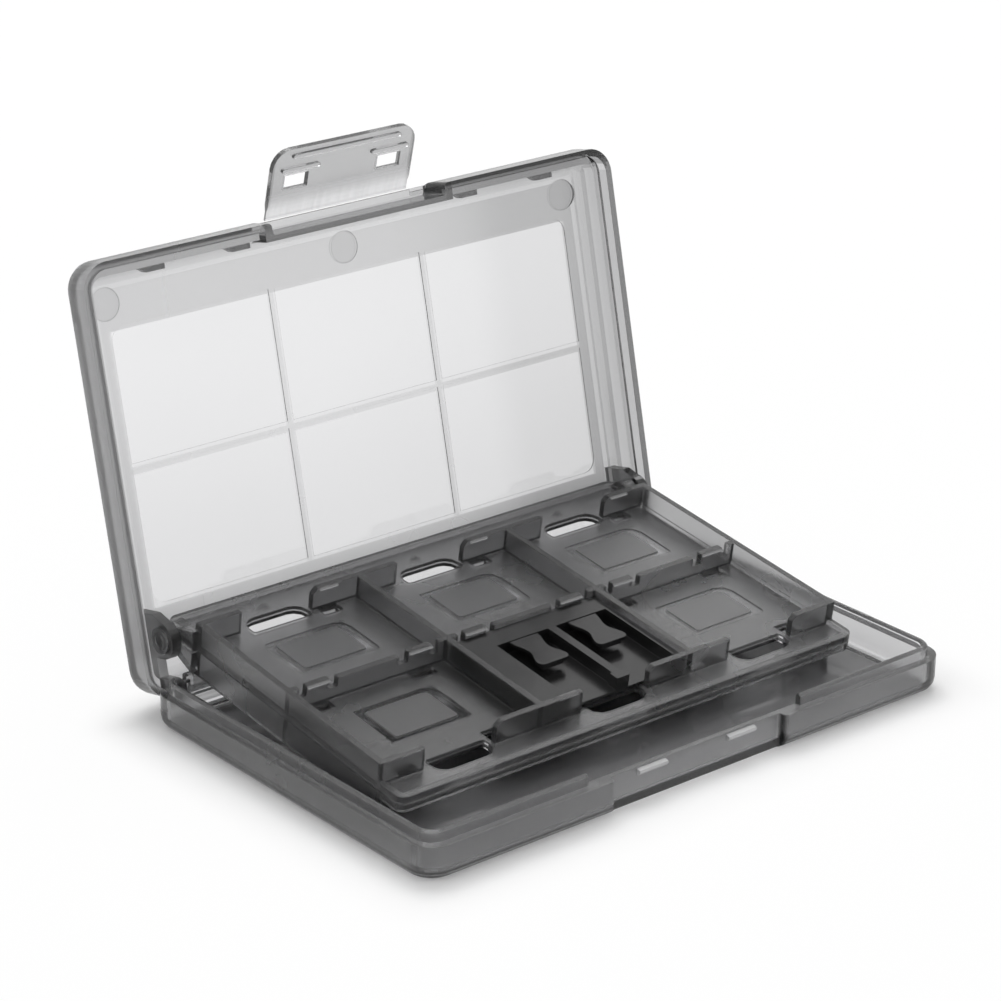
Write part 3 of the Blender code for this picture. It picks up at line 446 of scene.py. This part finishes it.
def lid_plastic():
    look = Plastic("lid_plastic")
    up = look.along(HINGE, LID_UP)
    out = look.along(HINGE, LID_OUT)
    pane, bar = pane_masks(look, up)
    disc, ring = disc_masks(look, up)
    plate = out > PLATE_FACE - 0.1 * mm
    satin = plate.most(look.outside(LID_MIDDLE))
    cloud = look.noise(30.0, 3.0)
    pane_painted_shade, border_tone_and_painted_shade = lid_painted_shade(look, up, bar)
    # The marks darken the ejector discs, their rings and the seams, and add painted shade on the tabs,
    # step, ears, front wall and rims.
    marks_and_painted_shade = (1 - disc * DISC_SHADE) * (1 - ring * RING_SHADE) * painted_shade_and_seams(look, up, out)
    # The panes are tinted darker to the right and towards the foot as painted shade.
    polished = look.clear(look.grey(PANE_TINT - pane_painted_shade + (cloud - 0.5) * 0.04), 0.02 + cloud * 0.03,
                          look.relief(look.noise(90.0), depth=0.004 * mm, edge=0.12 * mm))
    relief = look.relief(satin_grain(look), depth=0.008 * mm, edge=0.12 * mm)
    worn = 0.08 + (1 - look.x.ramp(-58 * mm, 10 * mm)) * 0.24
    # The frosted border carries painted shade to the right and towards the foot.
    frosted = look.clear(look.grey((FROST_TINT - plate * border_tone_and_painted_shade + (cloud - 0.5) * 0.06) * marks_and_painted_shade),
                         worn.most(plate * (FROST_ROUGH + (cloud - 0.5) * 0.1)), relief)
    haze = look.solid(look.grey(LID_HAZE_SHADE * marks_and_painted_shade), 0.3, relief)
    rest = look.mix(satin * LID_HAZE, frosted, haze)
    return look.done(look.mix(pane, rest, polished), LID_DYE)


dress("lid_shell", lid_plastic())


# Pivot bushes: two short hollow pins in the same plastic, pushed through the lid's ears
# into the leaf's arms. They are thick for their size and so look dark, and their rims are made paler
# as a painted highlight.

BUSH_TINT = 0.42
BUSH_HAZE = 0.08
BUSH_HAZE_SHADE = 0.3
BUSH_RIM = 0.12 * mm
BUSH_DYE = 420.0


def bush_plastic():
    look = Plastic("bush_plastic")
    relief = look.relief(satin_grain(look), depth=0.006 * mm, edge=0.1 * mm)
    painted_rim = look.edges(BUSH_RIM)
    tint = BUSH_TINT + (look.noise(400.0) - 0.5) * 0.08
    # The rims are made paler as a painted highlight.
    haze_grey_and_painted_highlights = BUSH_HAZE_SHADE + (look.noise(150.0) - 0.5) * 0.1 + painted_rim * 0.5
    haze = look.solid(look.grey(haze_grey_and_painted_highlights), 0.2, relief)
    clear = look.clear(look.grey(tint), 0.12, relief)
    return look.done(look.mix(BUSH_HAZE + painted_rim * 0.3, clear, haze), BUSH_DYE)


bush_finish = bush_plastic()
dress("pivot_bush_left", bush_finish)
dress("pivot_bush_right", bush_finish)


# Latch flap: moulded with the lid and bent at a thin web. The plate is drawn white near the crease,
# partly the web's stress whitening and partly a painted highlight, fading out over the first few
# millimetres of the plate. Its outline is darkened as painted shade.

CREASE = Vector((0, 61.5365, 76.5013)) * mm
FLAP_UP = Vector((0, -0.625, 0.7806))
FLAP_HALF_W = 15.8 * mm
FLAP_LENGTH = 13.4 * mm
FLAP_CORNER_R = 3.5 * mm
FLAP_EDGE = 0.55 * mm
FLAP_EDGE_PAINTED_SHADE = 0.4
FLAP_TINT = 0.57
FLAP_HAZE = 0.05
FLAP_DYE = 60.0
CREASE_WHITE_LENGTH = 5.2 * mm
CREASE_WHITE_AND_HIGHLIGHT_TINT = 0.92
STREAK_SCALE = (900.0, 60.0, 60.0)


def flap_plastic():
    look = Plastic("flap_plastic")
    reach = look.along(CREASE, FLAP_UP)
    drawn = look.node("VectorMath", {"operation": "MULTIPLY"}, {0: look.place, 1: STREAK_SCALE})
    streaks = look.node("TexNoise", None, {"Vector": drawn, "Scale": 1.0, "Detail": 3.0})
    # White near the crease: partly the web's stress whitening, partly a painted highlight.
    crease_white_and_highlight = (1 - reach.ramp(0.0, CREASE_WHITE_LENGTH)) * (0.8 + streaks * 0.4)
    across = (abs(look.x) - (FLAP_HALF_W - FLAP_CORNER_R)).most(0.0)
    beyond = (reach - (FLAP_LENGTH - FLAP_CORNER_R)).most(0.0)
    # The flap's outline is darkened as painted shade.
    painted_rim = ((across * across + beyond * beyond).root() - (FLAP_CORNER_R - FLAP_EDGE)).ramp(0.0, 0.2 * mm)
    relief = look.relief(satin_grain(look), depth=0.006 * mm, edge=0.12 * mm)
    tint = (FLAP_TINT + (look.noise(120.0) - 0.5) * 0.06) * (1 - painted_rim * FLAP_EDGE_PAINTED_SHADE)
    clear = look.clear(look.grey(tint), 0.16, relief)
    haze = look.solid(look.grey(tint), 0.3, relief)
    crease_white_and_highlight_finish = look.clear(look.grey(CREASE_WHITE_AND_HIGHLIGHT_TINT - streaks * 0.04), 0.3, relief)
    return look.done(look.mix(crease_white_and_highlight.least(1.0), look.mix(FLAP_HAZE, clear, haze), crease_white_and_highlight_finish), FLAP_DYE)


dress("latch_flap", flap_plastic())


# Leaf: two mouldings of the same plastic, back to back, on two arms that turn on the bushes.
# The pocket floors are satin, with a polished outline of a card in each, and the tops of the walls
# and the nubs that hold a card down get painted highlights. The front-left pockets are tinted darker
# as painted shade, and the card outlines get painted shade to the left and a painted highlight to the
# right.

PIVOT = Vector((0, 39.626, 13.938)) * mm
LEAF_FRONT = Vector((0, -0.9911, -0.1331))
LEAF_UP = Vector((0, -0.1331, 0.9911))
BACK_LINE = 6.0 * mm
ROW_PITCH = 25.3 * mm
ROWS_LENGTH = 50.0 * mm
FLOOR_LEVEL = 1.15 * mm
ICON_LEFT = 7.4 * mm
ICON_RIGHT = 9.6 * mm
ICON_BACK = 5.1 * mm
ICON_FRONT = 16.1 * mm
LABEL_LEFT = 5.8 * mm
LABEL_RIGHT = 7.5 * mm
LABEL_BACK = 6.2 * mm
LABEL_FRONT = 15.0 * mm
NUB_LEVEL = 4.2 * mm
NUB_REACH = 0.62 * mm
NUB_SIDE = 15.5 * mm
ROW_END = 24.08 * mm
ARROW_LINES = (-5.7 * mm, 54.5 * mm)
ARROW_HALF_L = 1.2 * mm
ARROW_SLOPE = 0.4
ARROW_PAINTED_SHADE = 0.4
ARROW_SINK = 20.0
FLANGE_LEVEL = 1.9 * mm
LEAF_TINT = 0.97
LEAF_ROUGH = 0.26
LEAF_HAZE = 0.1
LEAF_HAZE_SHADE = 0.28
LEAF_DYE = 360.0


def card_masks(look, column, line, level):
    """The card picture in each pocket's floor: its polished band, and the label inside the band."""
    row = line.folded(ROW_PITCH)
    floor = (level < FLOOR_LEVEL) * line.within(0.0, ROWS_LENGTH)
    card = column.within(-ICON_LEFT, ICON_RIGHT) * row.within(ICON_BACK, ICON_FRONT) * floor
    label = column.within(-LABEL_LEFT, LABEL_RIGHT) * row.within(LABEL_BACK, LABEL_FRONT) * floor
    return card * (1 - label), label


def nub_mask(column, line, level):
    """The small nubs that hold a card down, which get a painted highlight."""
    row = line.folded(ROW_PITCH)
    reach = row.within(0.02 * mm, NUB_REACH).most(row.within(ROW_END - NUB_REACH, ROW_END))
    return reach * (level > NUB_LEVEL) * (abs(column) < NUB_SIDE)


def arrow_mask(column, line):
    """A small moulded arrow before and behind each column, which shows the way a card goes in."""
    arrows = None
    for at in ARROW_LINES:
        arrow = abs(line - at) < (column + ARROW_HALF_L) * ARROW_SLOPE
        arrows = arrow if arrows is None else arrows.most(arrow)
    return arrows * (column < ARROW_HALF_L)


def leaf_plastic():
    look = Plastic("leaf_plastic")
    column = (look.x + PANE_PITCH / 2).folded(PANE_PITCH) - PANE_PITCH / 2
    line = look.along(PIVOT, LEAF_FRONT) - BACK_LINE
    level = abs(look.along(PIVOT, LEAF_UP))
    band, label = card_masks(look, column, line, level)
    nub = nub_mask(column, line, level)
    arrow = arrow_mask(column, line) * (level < FLANGE_LEVEL)
    # The edges of the walls are made paler as painted highlights.
    edge = look.edges(0.12 * mm)
    speck = look.specks(350.0)
    cloud = look.noise(60.0, 3.0)
    # The card outlines get painted shade to the left and a painted highlight to the right.
    painted_band_light_to_right = look.x.ramp(-12 * mm, 42 * mm)
    # The front-left pockets are tinted darker as painted shade.
    painted_shade_front_left = line.ramp(20 * mm, 32 * mm) * (1 - look.x.ramp(-22 * mm, 6 * mm)) * (line < ROWS_LENGTH)
    relief = look.relief(satin_grain(look) - arrow * ARROW_SINK, depth=0.008 * mm, edge=0.15 * mm)
    rough = (LEAF_ROUGH + (cloud - 0.5) * 0.1) * (1 - band * 0.85) + label * 0.1
    # The arrows are darkened as painted shade in their recess.
    tint = (LEAF_TINT + (cloud - 0.5) * 0.06) * (1 - arrow * ARROW_PAINTED_SHADE)
    tint = tint * (1 - painted_shade_front_left * 0.34) * (1 - band * (1 - painted_band_light_to_right) * 0.2)
    clear = look.clear(look.grey(tint), rough, relief)
    # The nubs and the wall edges get painted highlights; the specks are dust.
    haze_grey_and_painted_highlights = LEAF_HAZE_SHADE + (band * painted_band_light_to_right * 0.6).most(nub.most(edge)) * 0.3 + speck * 0.4
    haze = look.solid(look.grey(haze_grey_and_painted_highlights), LEAF_ROUGH, relief)
    share = (LEAF_HAZE + (cloud - 0.5) * 0.04) * (1 - band) * (1 - painted_shade_front_left * 0.5) + band * painted_band_light_to_right * 0.15
    share = share + nub * 0.25 + edge * 0.12 + speck * 0.4
    return look.done(look.mix(share, clear, haze), LEAF_DYE)


leaf_finish = leaf_plastic()
dress("tray_upper_half", leaf_finish)
dress("tray_lower_half", leaf_finish)


# Memory-card holder: a black glossy moulding snapped into the front middle pocket. Its two spring
# tongues are cut free on three sides and bend up over a card.

BLACK = 0.008
GLOSS = 0.1


def holder_black():
    look = Plastic("holder_black")
    smear = look.noise(180.0, 4.0)
    relief = look.relief(look.noise(2600.0) + smear, depth=0.004 * mm, edge=0.15 * mm)
    return look.done(look.solid(look.grey(BLACK + smear * 0.008), GLOSS + smear * 0.16, relief))


holder_finish = holder_black()
for node in ("card_holder", "spring_tongue_left", "spring_tongue_right"):
    dress(node, holder_finish)


# Colours as they are written.

bpy.context.scene.view_settings.view_transform = "Standard"
